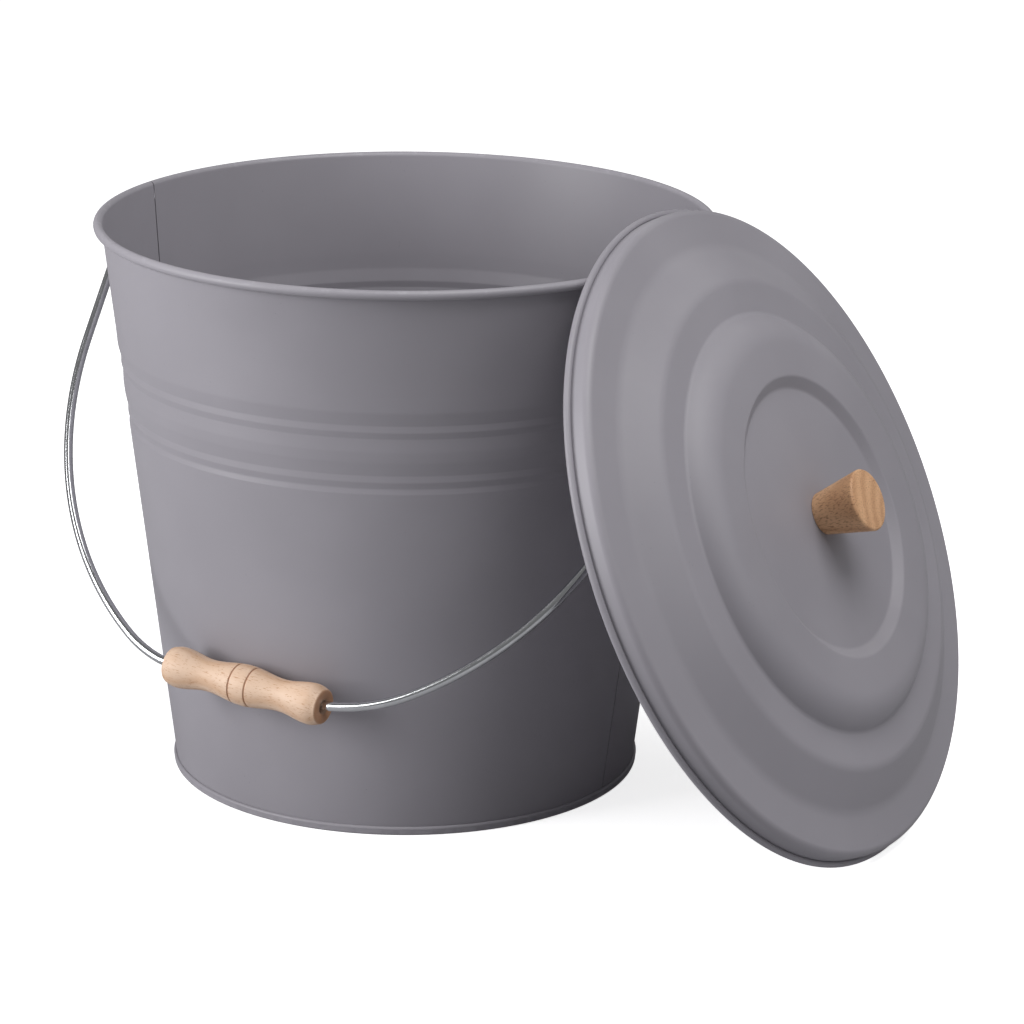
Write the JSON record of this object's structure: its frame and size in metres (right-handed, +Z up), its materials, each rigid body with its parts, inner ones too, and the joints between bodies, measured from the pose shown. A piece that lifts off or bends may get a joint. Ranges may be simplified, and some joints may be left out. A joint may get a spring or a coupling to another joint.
{
  "type": "ash bucket",
  "caption": "Tapered sheet-metal bucket with a rolled rim, a swinging wire bail with a turned wooden grip, and a loose stepped lid with a wooden knob, leaning on its rim.",
  "frame": {"origin": "where the bucket's own axis meets the floor it stands on", "axes": "+Z up the bucket's axis, +X along the bail's pivots to the side where the lid leans, -Y the side the bail hangs on"},
  "size_m": [0.4476, 0.3287, 0.3],
  "materials": {
    "body": "satin",
    "lid": "satin",
    "ears": "satin",
    "wire": "polished",
    "fixings": "satin",
    "grip": "satin",
    "knob": "satin"
  },
  "bodies": {
    "bucket": {"front_shell": "body", "rear_shell": "body", "rim_wire": "wire", "base_pan": "body", "ear_right": "ears", "ear_left": "ears", "ear_right_rivets": "fixings", "ear_left_rivets": "fixings"},
    "bail": {"bail_wire": "wire"},
    "grip": {"grip": "grip"},
    "lid": {"lid_shell": "lid", "lid_edge_wire": "wire", "lid_knob": "knob", "knob_screw": "fixings", "knob_washer": "fixings"}
  },
  "joints": [
    {"name": "bail_swing", "type": "hinge", "parent": "bucket", "child": "bail", "pos_m": [0, 0, 0.262], "axis": [-1, 0, 0], "range_deg": [0, 286]},
    {"name": "grip_spin", "type": "hinge", "parent": "bail", "child": "grip", "pos_m": [-0.00875, -0.13648, 0.07586], "axis": [0.998, -0.0371, -0.0504], "continuous": true},
    {"name": "lid_lift", "type": "slide", "parent": "bucket", "child": "lid", "axis": [0.9088, 0.0048, 0.4172], "range_m": [0, 0.45]}
  ],
  "couplings": [
    {"joint": "lid_lift", "follows": "bail_swing", "m_per_rad": 0.09}
  ]
}
